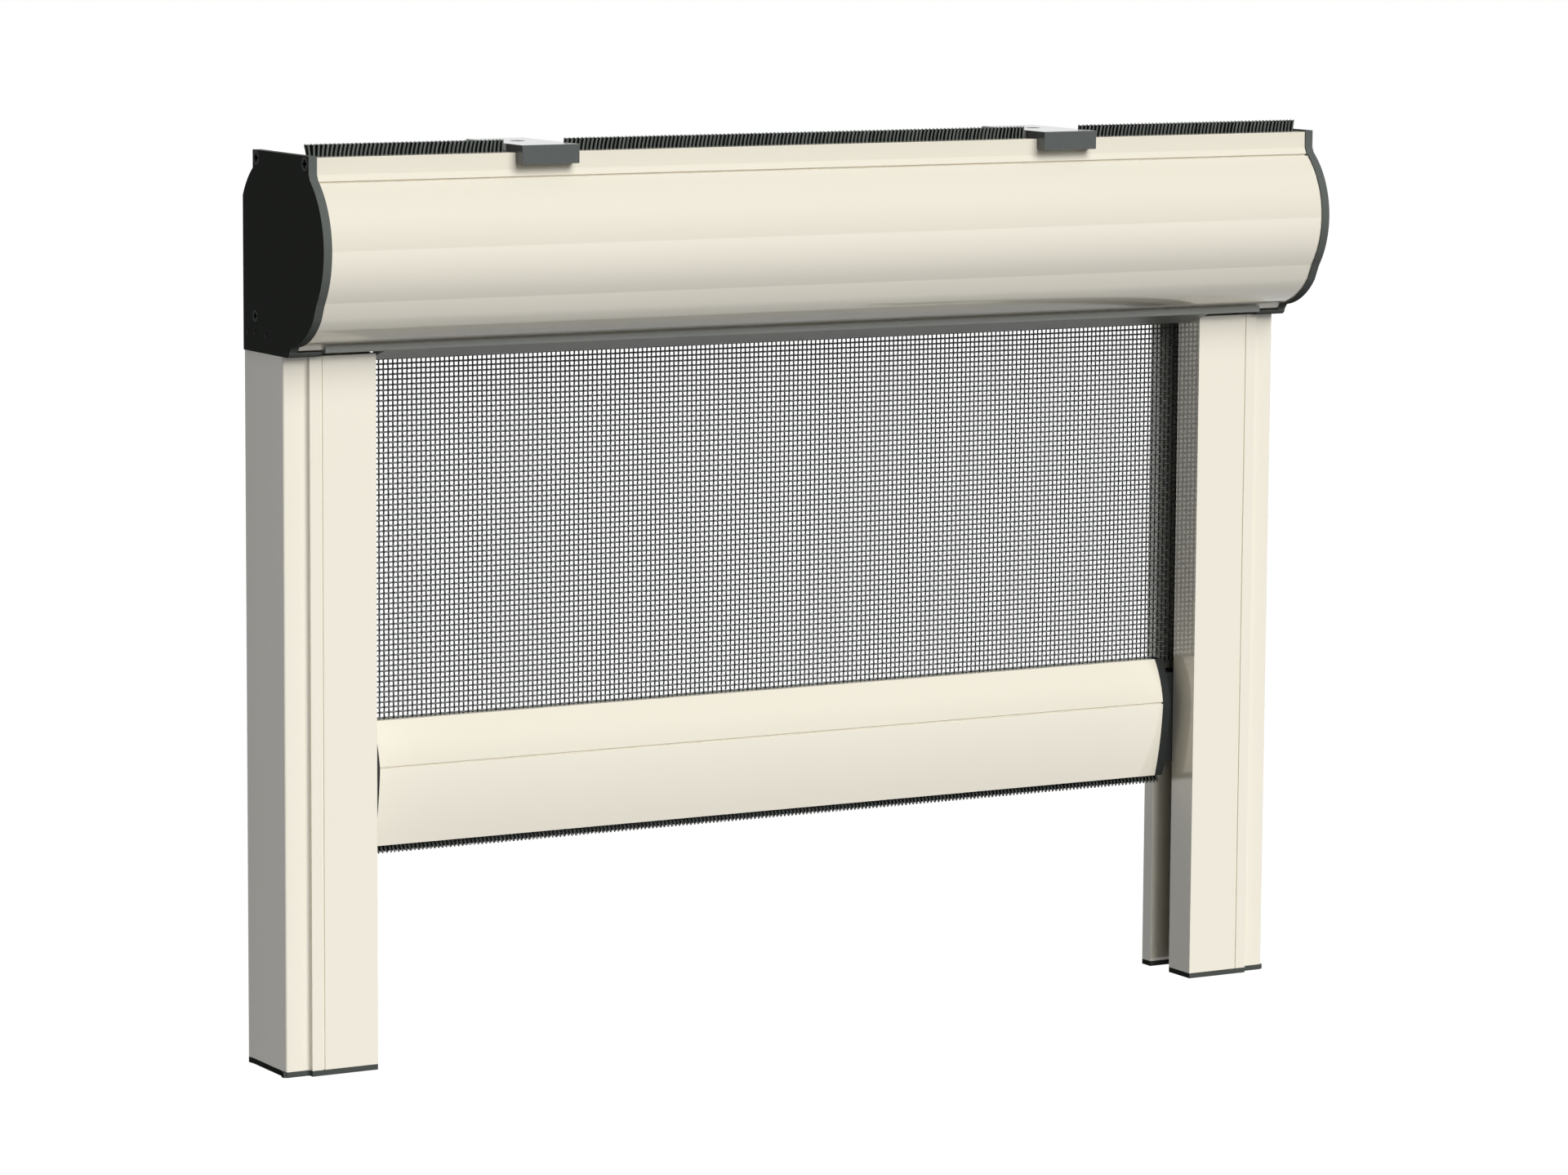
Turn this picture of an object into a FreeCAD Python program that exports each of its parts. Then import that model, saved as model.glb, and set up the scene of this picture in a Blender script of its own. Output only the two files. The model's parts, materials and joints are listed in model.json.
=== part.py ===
import FreeCAD, Part
import math
import os

# Sprung roller insect screen for a window, short display width, net drawn half way down.
# Millimetres. X runs along the head box, Y from front (minus) to back (plus), Z up.
# The origin is on the sill, half way along the box and half way through its depth.

# Overall sizes
overall_width = 315.0
box_depth = 50.0
guide_height = 193.0
box_height = 53.4

# Head box and end caps
box_wall = 1.2
cap_thickness = 2.4
cap_rim = 0.4
front_radius = 23.6
front_centre_rise = 29.2
under_radius = 20.45
under_lip_slope = 8.0
lip_lead = 4.8
lip_rise = 2.9
lip_drop = 1.1
lip_fold = 0.2
tab_step = 1.1
tab_corner = 1.5
mouth_height = 3.0
flange_setback = 9.0
flange_height = 4.8
flange_foot = 1.5
back_setback = 6.4
back_slope_height = 7.6
back_slope_bulge = 0.6
scribe_width = 0.5
scribe_depth = 0.35
scribe_drop = 0.3
cap_spigot_length = 5.0
cap_spigot_wall = 1.2
cap_spigot_low_gap = 1.0
cap_spigot_high_gap = 1.5
cap_shelf_length = 7.1
cap_shelf_thickness = 1.4
cap_boss_radius = 6.0
cap_boss_length = 3.2
cap_ribs = 6
cap_rib_thickness = 1.4
cap_rib_height = 2.4
cap_rib_inset = 0.5
cap_key_length = 8.0
fit_gap = 0.1
overcut = 1.0

# Screws
screw_head_height = 0.8
cap_screw_radius = 1.2
cap_screw_head_radius = 2.0
cap_screw_length = 12.0
screw_grip = 0.02
screw_inset_back = 2.15
screw_inset_front = 2.45
screw_drop = 2.1
screw_channel_wall = 0.8
lead_screw_radius = 0.9
lead_screw_head_radius = 1.6
lead_screw_length = 6.0
lead_screw_setback = 7.5
lead_screw_rise = 9.5
lead_peg_radius = 0.85
lead_peg_setbacks = (2.9, 7.5, 14.2)
lead_peg_rise = 4.9

# Trim strip on the box's lip
trim_end_gap = 0.3
trim_blade = 0.8
trim_skirt_setback = 4.6
trim_skirt_drop = 2.2
trim_overlap = 0.3
trim_skin_gap = 0.05
trim_leg = 1.0
trim_leg_gap = 0.9
trim_shelf = 1.0

# Top brush and lintel clips
top_brush_setback = 15.7
brush_base_width = 4.4
brush_base_height = 0.9
brush_pile_width = 2.0
top_brush_stand = 3.2
channel_wall = 1.0
channel_floor = 1.0
clip_width = 17.0
clip_centres = (-88.8, 73.4)
clip_plate = 2.1
clip_lip_depth = 3.9
clip_lip_height = 5.1
clip_hook_setback = 6.3
clip_hook_width = 1.2
clip_hook_depth = 1.4
clip_chamfer = 0.6
clip_screw_radius = 2.1
clip_screw_countersink = 3.2
clip_brush_gap = 0.5

# Guides
guide_width = 26.3
guide_depth = 25.0
guide_wall = 1.3
guide_inset = 0.6
guide_step = 1.7
guide_ledge = 6.9
guide_slot = 9.8
guide_rear_leg = 4.4
guide_corner = 0.6
guide_ledge_fillet = 1.0
guide_ledge_fillet_depth = 0.5
guide_back_step = 0.3
guide_back_step_height = 2.6
guide_back_ramp = 1.6
guide_scribe_setback = 10.4
guide_brush_base_width = 4.8
guide_brush_base_height = 0.7
guide_brush_pile_width = 2.4
guide_brush_setback = 9.9
guide_brush_lip = 0.5
guide_brush_gap = 0.45
foot_plate = 1.5
foot_spigot_length = 8.0
foot_spigot_wall = 1.2
foot_nub = 0.6
foot_nub_width = 1.5
foot_nub_setback = 0.4

# Lead-ins between box and guides
lead_height = 11.0
lead_cheek = 2.6
lead_end_block = 5.8
lead_chamfer = 1.6
lead_end_gap = 0.6

# Bottom bar
bar_bottom = 58.4
bar_height = 34.0
bar_end_gap = 4.9
bar_wall = 1.3
bar_front_bulge = 7.2
bar_top_front = 2.5
bar_top_rear = 2.5
bar_rear_bulge = 4.7
bar_bottom_front = 3.4
bar_bottom_rear = 3.4
bar_brow_height = 12.2
bar_brow_bulge = 0.78
bar_belly_bulge = 0.6
bar_rear_brow_bulge = 0.26
bar_rear_belly_bulge = 0.3
bar_scribe_height = 1.0
bar_scribe_depth = 0.35
bar_cap_thickness = 2.5
bar_cap_spigot = 8.0
bar_tongue_reach = 8.2
bar_tongue_thickness = 9.0
bar_tongue_height = 26.0
bar_tongue_corner = 1.5
bar_spline_radius = 1.2
bar_spline_drop = 3.5
bar_spline_end_gap = 1.0
bar_head_block = 6.2
bar_foot_block = 4.2
bar_brush_pile_width = 1.8
bar_brush_stand = 1.7
bar_brush_lip = 1.2

# Roller
roller_rise = 28.9
tube_radius = 10.0
tube_wall = 1.0
tube_end_gap = 5.5
roll_radius = 16.5
roll_bore_gap = 0.05
net_clearance = 0.3
keyway_radius = 1.5
keyway_wall = 0.9
keyway_slit = 1.0
spline_radius = 1.2
plug_flange = 2.0
plug_flange_overhang = 1.5
plug_length = 12.0
plug_hub = 8.4
plug_rib = 3.0
shaft_radius = 2.5
shaft_running_gap = 0.06
shaft_square = 3.4
shaft_length = 153.0
shaft_shoulder_gap = 0.3
shaft_end_gap = 0.2
shaft_overhang = 12.5
pin_length = 15.0
spring_turns = 5
spring_radius = 4.2
spring_wire = 1.0
anchor_length = 7.0
anchor_radius = 5.2
anchor_gap = 0.5

# Net
net_thickness = 0.4
net_edge_reach = 14.0
net_columns = 20
net_rows = 7
net_strand = 1.4
net_hem = 6.0
net_wing_rise = 1.0

# Places worked out from the sizes above
half_width = overall_width / 2
cap_inner_x = half_width - cap_thickness
back_y = box_depth / 2
front_y = -box_depth / 2
box_bottom = guide_height
box_top = box_bottom + box_height
rim_top = box_top - cap_rim
guide_front_y = back_y - guide_depth
slot_back_y = back_y - guide_rear_leg
slot_front_y = slot_back_y - guide_slot
net_y = (slot_back_y + slot_front_y) / 2
guide_outer_x = half_width - guide_inset
guide_inner_x = guide_outer_x - guide_width
guide_ledge_x = guide_outer_x - guide_ledge
slot_end_x = guide_ledge_x - guide_wall + fit_gap
web_outer_x = slot_end_x + guide_wall
guide_brush_x = guide_inner_x + guide_brush_setback
net_half_width = guide_inner_x + net_edge_reach
roller_y = net_y - roll_radius - net_clearance - net_thickness / 2
roller_z = box_bottom + roller_rise
flange_front_y = front_y + flange_setback
top_back_y = back_y - back_setback
bar_half_length = guide_inner_x - bar_end_gap
bar_top = bar_bottom + bar_height
bar_spline_z = bar_top - bar_spline_drop
lip_y = guide_front_y - lip_lead
lip_z = box_bottom + lip_rise
lip_bottom = lip_z - lip_drop
trim_half_length = cap_inner_x - cap_shelf_length - trim_end_gap
guide_boss_depth = guide_brush_lip + guide_brush_base_height + fit_gap + channel_floor

# A quarter arc's middle stands in from its corner by this share of the radius
quarter_arc = 1 - math.sqrt(0.5)


def yz_point(a, b):
    """A point of a section across the box: a is Y and b is Z."""
    return FreeCAD.Vector(0, a, b)


def xy_point(a, b):
    """A point of a section across a guide: a is X and b is Y."""
    return FreeCAD.Vector(a, b, 0)


def loop_face(point, corners):
    """The face inside a closed loop. A corner is (end,) for a straight or (via, end) for an arc."""
    edges = []
    here = corners[-1][-1]
    for corner in corners:
        end = corner[-1]
        if len(corner) == 1:
            edges.append(Part.makeLine(point(*here), point(*end)))
        else:
            edges.append(Part.Arc(point(*here), point(*corner[0]), point(*end)).toShape())
        here = end
    return Part.Face(Part.Wire(edges))


def oriented(solid):
    """The solid with its faces pointing outwards."""
    if solid.Volume < 0:
        solid.reverse()
    return solid


def along_x(face, start, end):
    """A section across the box carried along X."""
    solid = oriented(face.extrude(FreeCAD.Vector(end - start, 0, 0)))
    solid.translate(FreeCAD.Vector(start, 0, 0))
    return solid


def along_z(face, start, end):
    """A section across a guide carried up Z."""
    solid = oriented(face.extrude(FreeCAD.Vector(0, 0, end - start)))
    solid.translate(FreeCAD.Vector(0, 0, start))
    return solid


def slab(x, y, z):
    """A block from its low and high X, Y and Z."""
    return Part.makeBox(x[1] - x[0], y[1] - y[0], z[1] - z[0], FreeCAD.Vector(x[0], y[0], z[0]))


def rod(x, y, z, radius):
    """A round bar along X between two X places."""
    return Part.makeCylinder(radius, x[1] - x[0], FreeCAD.Vector(x[0], y, z), FreeCAD.Vector(1, 0, 0))


def hexagon_rod(x, y, z, radius):
    """A six-sided bar along X between two X places, from its corner radius."""
    corners = []
    for turn in range(6):
        angle = math.pi / 3 * turn
        corners.append(((y + radius * math.cos(angle), z + radius * math.sin(angle)),))
    return along_x(loop_face(yz_point, corners), *x)


def mirrored(shape):
    """The same piece on the left."""
    return shape.mirror(FreeCAD.Vector(0, 0, 0), FreeCAD.Vector(1, 0, 0))


def arc_between(start, end, bulge):
    """The middle point of an arc that stands bulge to the left of the way from start to end."""
    run_a = end[0] - start[0]
    run_b = end[1] - start[1]
    length = math.hypot(run_a, run_b)
    middle_a = (start[0] + end[0]) / 2 - run_b / length * bulge
    middle_b = (start[1] + end[1]) / 2 + run_a / length * bulge
    return (middle_a, middle_b)


def on_circle(centre, radius, degrees):
    """A point on a circle, from the angle above the way forwards (minus Y)."""
    angle = math.radians(degrees)
    return (centre[0] - radius * math.cos(angle), centre[1] + radius * math.sin(angle))


def cap_outline():
    """The end cap's outline: a flat back, a slope up to the top flange, a round front and a lip."""
    front_centre = (front_y + front_radius, box_bottom + front_centre_rise)
    slope = math.radians(under_lip_slope)
    under_centre = (lip_y + under_radius * math.sin(slope), lip_z + under_radius * math.cos(slope))
    apart_y = front_centre[0] - under_centre[0]
    apart_z = front_centre[1] - under_centre[1]
    spacing = math.hypot(apart_y, apart_z)
    lean = math.degrees(math.asin((front_radius - under_radius) / spacing))
    tilt = math.degrees(math.atan2(apart_y, apart_z))
    tangent = -(lean + tilt)
    foot_z = box_top - flange_height - flange_foot
    start = math.degrees(math.asin((foot_z - front_centre[1]) / front_radius))
    arc_start = on_circle(front_centre, front_radius, start)
    arc_end = on_circle(front_centre, front_radius, tangent)
    under_start = on_circle(under_centre, under_radius, tangent)
    lip = (lip_y, lip_z)
    under_middle = on_circle(under_centre, under_radius, (tangent - 90 + under_lip_slope) / 2)
    tab_y = lip_y + tab_step
    corner_middle = (tab_y + tab_corner * quarter_arc, box_bottom + tab_corner * quarter_arc)
    slope_start = (back_y, box_top - flange_height - back_slope_height)
    slope_end = (top_back_y, box_top - flange_height)
    return loop_face(yz_point, [
        ((top_back_y, box_top),),
        ((flange_front_y, box_top),),
        ((flange_front_y, box_top - flange_height),),
        (arc_start,),
        (on_circle(front_centre, front_radius, (start + tangent) / 2), arc_end),
        (under_start,),
        (under_middle, lip),
        ((tab_y, box_bottom + tab_corner),),
        (corner_middle, (tab_y + tab_corner, box_bottom)),
        ((back_y, box_bottom),),
        (slope_start,),
        (arc_between(slope_start, slope_end, -back_slope_bulge), slope_end),
    ])


def screw_places():
    """Y and Z of the two screws at the top corners of each end cap."""
    height = box_top - screw_drop
    return [(top_back_y - screw_inset_back, height), (flange_front_y + screw_inset_front, height)]


def brush_channel(y, x):
    """The boss under a brush channel in the box's top, and the T slot that it is cut with."""
    half = brush_base_width / 2 + fit_gap
    mouth = brush_pile_width / 2 + 2 * fit_gap
    roof = rim_top - box_wall
    floor = roof - brush_base_height - 2 * fit_gap
    boss = slab(x, (y - half - channel_wall, y + half + channel_wall), (floor - channel_floor, rim_top))
    slot = slab(x, (y - half, y + half), (floor, roof))
    return boss, slot.fuse(slab(x, (y - mouth, y + mouth), (floor, rim_top + overcut)))


def clip_hook_place():
    """Low and high Y of the hook at the back of each lintel clip."""
    low = top_back_y - clip_hook_setback
    return (low, low + clip_hook_width)


def head_box():
    """The extruded casing: a thin wall inside the caps' outline, open at the bottom."""
    length = (-cap_inner_x, cap_inner_x)
    outline = cap_outline()
    skin = along_x(outline.makeOffset2D(-cap_rim), *length)
    room = along_x(outline.makeOffset2D(-cap_rim - box_wall), *length)
    shell = skin.cut(room)
    brush_y = front_y + top_brush_setback
    boss, slot = brush_channel(brush_y, length)
    hook = clip_hook_place()
    hook_floor = rim_top - clip_hook_depth - 2 * fit_gap
    rail_y = (hook[0] - channel_wall, hook[1] + channel_wall)
    rail = slab(length, rail_y, (hook_floor - channel_floor, rim_top))
    groove = slab(length, (hook[0] - 2 * fit_gap, hook[1] + 2 * fit_gap), (hook_floor, rim_top + overcut))
    shell = shell.fuse([boss.common(skin), rail.common(skin)])
    for y, z in screw_places():
        shell = shell.fuse(rod(length, y, z, cap_screw_radius + screw_channel_wall).common(skin))
    for y, z in screw_places():
        shell = shell.cut(rod(length, y, z, cap_screw_radius + screw_grip))
    shell = shell.cut([slot, groove])
    wall_y = back_y - cap_rim - box_wall
    everywhere = (-half_width, half_width)
    mouth_y = (lip_y + box_wall + cap_rim + lip_fold, wall_y)
    mouth = slab(everywhere, mouth_y, (box_bottom - overcut, lip_z + mouth_height))
    below_lip = slab(everywhere, (front_y, wall_y), (box_bottom - overcut, lip_bottom))
    shell = shell.cut([mouth, below_lip])
    centre_z = box_bottom + front_centre_rise
    scribe_z = box_top - flange_height - flange_foot - scribe_drop
    scribe_y = front_y + front_radius - math.sqrt(front_radius ** 2 - (scribe_z - centre_z) ** 2)
    groove_y = (scribe_y - overcut, scribe_y + cap_rim + scribe_depth)
    scribe = slab(everywhere, groove_y, (scribe_z - scribe_width, scribe_z))
    return shell.cut(scribe).removeSplitter()


def end_cap():
    """The right end cap: outline plate, spigot ring in the box, shaft boss, shelf over the guide."""
    outline = cap_outline()
    cap = along_x(outline, cap_inner_x, half_width)
    inset = cap_rim + box_wall + fit_gap
    ring_x = (cap_inner_x - cap_spigot_length, cap_inner_x)
    ring = along_x(outline.makeOffset2D(-inset), *ring_x)
    ring = ring.cut(along_x(outline.makeOffset2D(-inset - cap_spigot_wall), *ring_x))
    ring_low = box_bottom + lead_height + cap_spigot_low_gap
    ring_high = box_top - flange_height - flange_foot - cap_spigot_high_gap
    ring = ring.common(slab(ring_x, (front_y, back_y), (ring_low, ring_high)))
    boss_x = (cap_inner_x - cap_boss_length, cap_inner_x)
    boss = rod(boss_x, roller_y, roller_z, cap_boss_radius)
    ribs = []
    rib_x = (cap_inner_x - cap_rib_height, cap_inner_x)
    inner = along_x(outline.makeOffset2D(-inset - cap_rib_inset), *rib_x)
    for turn in range(cap_ribs):
        rib = slab(rib_x, (0, box_depth), (-cap_rib_thickness / 2, cap_rib_thickness / 2))
        rib.rotate(FreeCAD.Vector(0, 0, 0), FreeCAD.Vector(1, 0, 0), 360 / cap_ribs * (turn + 0.5))
        rib.translate(FreeCAD.Vector(0, roller_y, roller_z))
        keep = slab(rib_x, (front_y, back_y), (ring_low, ring_high))
        ribs.append(rib.common(inner).common(keep))
    shelf_x = (cap_inner_x - cap_shelf_length, cap_inner_x)
    shelf = along_x(outline, *shelf_x)
    shelf_back = back_y - cap_rim - box_wall - fit_gap
    shelf_z = (box_bottom, box_bottom + cap_shelf_thickness)
    shelf = shelf.common(slab(shelf_x, (front_y, shelf_back), shelf_z))
    key_x = (web_outer_x + fit_gap, guide_outer_x - guide_wall - fit_gap)
    key_y = (guide_front_y + guide_step + guide_wall + fit_gap, back_y - guide_wall - fit_gap)
    key = slab(key_x, key_y, (box_bottom - cap_key_length, box_bottom))
    cap = cap.fuse([ring, boss, shelf, key] + ribs)
    cuts = [screw(place, cap_screw_length, cap_screw_radius, cap_screw_head_radius, fit_gap)
            for place in screw_places()]
    cuts.append(screw(lead_screw_place(), lead_screw_length, lead_screw_radius, lead_screw_head_radius,
                      fit_gap))
    through = (cap_inner_x - overcut, half_width + overcut)
    cuts += [hexagon_rod(through, y, z, lead_peg_radius + fit_gap) for y, z in lead_peg_places()]
    return cap.cut(cuts).removeSplitter()


def left_cap():
    """The spring side cap, whose boss has the shaft's square socket."""
    reach = shaft_square + 2 * fit_gap
    socket_x = (cap_inner_x - cap_boss_length - overcut, cap_inner_x)
    socket = slab(socket_x, (roller_y - reach / 2, roller_y + reach / 2),
                  (roller_z - reach / 2, roller_z + reach / 2))
    return mirrored(end_cap().cut(socket))


def right_cap():
    """The pin side cap, whose boss has the pivot pin's round socket."""
    socket_x = (cap_inner_x - cap_boss_length - overcut, cap_inner_x)
    return end_cap().cut(rod(socket_x, roller_y, roller_z, shaft_radius + fit_gap))


def screw(place, length, radius, head_radius, gap):
    """A flat-headed screw sunk in the right cap's outer face, or with a gap the hole that it fits."""
    y, z = place
    neck_x = half_width - screw_head_height
    head = rod((neck_x - gap, half_width), y, z, head_radius + gap)
    return head.fuse(rod((half_width - length, neck_x), y, z, radius + gap))


def both_sides(shapes):
    """One group of separate solids: the right hand ones and their mirror images."""
    return Part.makeCompound(shapes + [mirrored(shape) for shape in shapes])


def cap_screws():
    """The four screws in the box's screw channels."""
    sizes = (cap_screw_length, cap_screw_radius, cap_screw_head_radius)
    return both_sides([screw(place, *sizes, 0) for place in screw_places()])


def lead_screw_place():
    """Y and Z of the screw that holds each lead-in."""
    return (back_y - lead_screw_setback, box_bottom + lead_screw_rise)


def lead_peg_places():
    """Y and Z of the three locating pegs of each lead-in."""
    return [(back_y - setback, box_bottom + lead_peg_rise) for setback in lead_peg_setbacks]


def lead_in_screws():
    """The two screws that hold the lead-ins on the end caps."""
    sizes = (lead_screw_length, lead_screw_radius, lead_screw_head_radius)
    return both_sides([screw(lead_screw_place(), *sizes, 0)])


def lead_in():
    """The right lead-in: two cheeks beside the net, joined by a block on the end cap."""
    end_x = cap_inner_x - fit_gap
    cheek_x = (guide_inner_x + lead_end_gap, end_x)
    top = box_bottom + lead_height
    rear_y = (slot_back_y, back_y - cap_rim - box_wall - fit_gap)
    front_cheek_y = (slot_front_y - lead_cheek, slot_front_y)
    rear = slab(cheek_x, rear_y, (box_bottom, top))
    front = slab(cheek_x, front_cheek_y, (box_bottom, top))
    block = slab((end_x - lead_end_block, end_x), (front_cheek_y[0], rear_y[1]), (box_bottom, top))
    body = rear.fuse([front, block])
    bevels = []
    for y, way in ((slot_back_y, 1), (slot_front_y, -1)):
        corners = [((y, top - lead_chamfer),), ((y + way * lead_chamfer, top),), ((y, top),)]
        bevels.append(along_x(loop_face(yz_point, corners), cheek_x[0], end_x - lead_end_block))
    shelf_x = (cap_inner_x - cap_shelf_length - fit_gap, half_width)
    shelf_room = slab(shelf_x, (front_y, back_y), (box_bottom - overcut, box_bottom + cap_shelf_thickness))
    hole = rod((half_width - lead_screw_length - fit_gap, half_width), *lead_screw_place(),
               lead_screw_radius + screw_grip)
    body = body.cut(bevels + [shelf_room, hole])
    peg_x = (end_x - overcut, half_width - fit_gap)
    pegs = [hexagon_rod(peg_x, y, z, lead_peg_radius) for y, z in lead_peg_places()]
    return body.fuse(pegs).removeSplitter()


def lip_trim():
    """The moulded strip on the box's bottom lip: a hook round the lip and a skirt between the guides."""
    length = (-trim_half_length, trim_half_length)
    blade_front = lip_y - trim_overlap
    leg_front = lip_y + box_wall + cap_rim + trim_leg_gap
    skirt_front = guide_front_y + trim_skirt_setback
    skirt_half = guide_inner_x - trim_end_gap
    shelf_top = lip_bottom - fit_gap
    shelf_bottom = shelf_top - trim_shelf
    blade = slab(length, (blade_front, blade_front + trim_blade), (shelf_bottom, lip_z + trim_overlap))
    shelf = slab(length, (blade_front, skirt_front + trim_blade), (shelf_bottom, shelf_top))
    leg = slab(length, (leg_front, leg_front + trim_leg), (shelf_bottom, lip_z))
    skirt = slab((-skirt_half, skirt_half), (skirt_front, skirt_front + trim_blade),
                 (box_bottom - trim_skirt_drop, shelf_top))
    box_skin = along_x(cap_outline().makeOffset2D(trim_skin_gap - cap_rim), *length)
    below_lip = slab(length, (front_y, back_y), (shelf_bottom - overcut, lip_bottom))
    return blade.cut(box_skin.cut(below_lip)).fuse([shelf, leg, skirt]).removeSplitter()


def top_brush(start, end):
    """A length of pile brush in the box's top channel."""
    y = front_y + top_brush_setback
    roof = rim_top - box_wall - fit_gap
    base_half = brush_base_width / 2
    base = slab((start, end), (y - base_half, y + base_half), (roof - brush_base_height, roof))
    pile_half = brush_pile_width / 2
    pile = slab((start, end), (y - pile_half, y + pile_half), (roof - fit_gap, rim_top + top_brush_stand))
    return base.fuse(pile).removeSplitter()


def top_brush_spans():
    """Start and end of each length of top brush, from cap to clip, clip to clip and clip to cap."""
    half = clip_width / 2 + clip_brush_gap
    ends = [-cap_inner_x + fit_gap]
    for centre in clip_centres:
        ends += [centre - half, centre + half]
    ends.append(cap_inner_x - fit_gap)
    return list(zip(ends[0::2], ends[1::2]))


def lintel_clip(centre):
    """A moulded clip: a plate over the box's top, a lip over its front flange and a hook behind."""
    x = (centre - clip_width / 2, centre + clip_width / 2)
    front_face = flange_front_y + cap_rim - fit_gap
    top = rim_top + clip_plate
    hook = clip_hook_place()
    lip_front = front_face - clip_lip_depth
    section = loop_face(yz_point, [
        ((lip_front, top),),
        ((lip_front, top - clip_lip_height),),
        ((front_face - clip_chamfer, top - clip_lip_height),),
        ((front_face, top - clip_lip_height + clip_chamfer),),
        ((front_face, rim_top),),
        ((hook[0], rim_top),),
        ((hook[0], rim_top - clip_hook_depth),),
        ((hook[1], rim_top - clip_hook_depth),),
        ((hook[1], top),),
    ])
    clip = along_x(section, *x)
    foot = FreeCAD.Vector(centre, 0, rim_top)
    hole = Part.makeCylinder(clip_screw_radius, clip_plate + overcut, foot)
    sink_depth = clip_screw_countersink - clip_screw_radius
    sink = Part.makeCone(clip_screw_countersink, clip_screw_radius, sink_depth, foot)
    return clip.cut([hole, sink])


def guide_outline():
    """The right guide's outer outline with its stepped front, without the slot."""
    x_in = guide_inner_x
    x_out = guide_outer_x
    x_ledge = guide_ledge_x
    y_front = guide_front_y
    y_ledge = y_front + guide_step
    fillet = guide_ledge_fillet
    depth = guide_ledge_fillet_depth
    corner = guide_corner
    arc = quarter_arc
    return loop_face(xy_point, [
        ((x_in, back_y),),
        ((x_in, y_front),),
        ((x_ledge, y_front),),
        ((x_ledge, y_ledge - depth),),
        ((x_ledge + fillet * arc, y_ledge - depth * arc), (x_ledge + fillet, y_ledge)),
        ((x_out - corner, y_ledge),),
        ((x_out - corner * arc, y_ledge + corner * arc), (x_out, y_ledge + corner)),
        ((x_out, back_y - guide_back_step_height),),
        ((x_out + guide_back_step, back_y - guide_back_step_height + guide_back_ramp),),
        ((x_out + guide_back_step, back_y),),
    ])


def guide_slot_room(low, high):
    """The open slot that the net's edge and the bar cap's tongue run in, past both ends."""
    x = (guide_inner_x - overcut, slot_end_x)
    return slab(x, (slot_front_y, slot_back_y), (low - overcut, high + overcut))


def guide_chambers(gap, low, high):
    """The guide's three hollow chambers, made smaller by a gap."""
    wall = guide_wall + gap
    inner = guide_inner_x + wall
    front = slab((inner, slot_end_x - gap), (guide_front_y + wall, slot_front_y - wall), (low, high))
    side_y = (guide_front_y + guide_step + wall, back_y - wall)
    side = slab((web_outer_x + gap, guide_outer_x - wall), side_y, (low, high))
    rear = slab((inner, slot_end_x - gap), (slot_back_y + wall, back_y - wall), (low, high))
    return [front, side, rear]


def guide_brush_channels(low, high):
    """Bosses and T slots for the pile strips in front of and behind the net."""
    half = guide_brush_base_width / 2 + fit_gap
    mouth = guide_brush_pile_width / 2 + 2 * fit_gap
    deep = guide_boss_depth - channel_floor
    bosses = []
    slots = []
    for face_y, way in ((slot_front_y, -1), (slot_back_y, 1)):
        x = (guide_brush_x - half, guide_brush_x + half)
        boss_y = sorted((face_y, face_y + way * guide_boss_depth))
        pocket_y = sorted((face_y + way * guide_brush_lip, face_y + way * deep))
        mouth_y = sorted((face_y - way * overcut, face_y + way * deep))
        bosses.append(slab((x[0] - channel_wall, x[1] + channel_wall), boss_y, (low, high)))
        slots.append(slab(x, pocket_y, (low, high)))
        slots.append(slab((guide_brush_x - mouth, guide_brush_x + mouth), mouth_y, (low, high)))
    return bosses, slots


def guide_rail():
    """The right guide: three chambers round an open slot, with T slots for the pile strips."""
    low = foot_plate
    high = guide_height
    rail = along_z(guide_outline(), low, high)
    rail = rail.cut(guide_chambers(0, low - overcut, high + overcut))
    slot = guide_slot_room(low, high)
    bosses, slots = guide_brush_channels(low, high)
    rail = rail.fuse(bosses).cut([slot] + slots)
    scribe_x = guide_outer_x - guide_scribe_setback
    scribe = slab((scribe_x - scribe_width / 2, scribe_x + scribe_width / 2),
                  (guide_front_y - overcut, guide_front_y + scribe_depth), (low, high))
    return rail.cut(scribe).removeSplitter()


def guide_foot():
    """The right foot: a plate of the guide's section with spigots up into its chambers."""
    spigot_top = foot_plate + foot_spigot_length
    nub_y = guide_front_y + guide_step + foot_nub_setback
    nub = slab((guide_outer_x - overcut, guide_outer_x + foot_nub), (nub_y, nub_y + foot_nub_width),
               (0, foot_plate))
    plate = along_z(guide_outline(), 0, foot_plate).cut(guide_slot_room(0, foot_plate)).fuse(nub)
    room = []
    for boss in guide_brush_channels(foot_plate, spigot_top)[0]:
        box = boss.BoundBox
        room.append(slab((box.XMin - fit_gap, box.XMax + fit_gap), (box.YMin - fit_gap, box.YMax + fit_gap),
                         (foot_plate, spigot_top)))
    front, side, rear = [spigot.cut(room) for spigot in guide_chambers(fit_gap, foot_plate, spigot_top)]
    inset = guide_wall + fit_gap + foot_spigot_wall
    core = slab((guide_inner_x + inset, slot_end_x - fit_gap - foot_spigot_wall),
                (guide_front_y + inset, slot_front_y - guide_boss_depth - fit_gap - foot_spigot_wall),
                (foot_plate, spigot_top))
    return plate.fuse([front.cut(core), side, rear]).removeSplitter()


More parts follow.
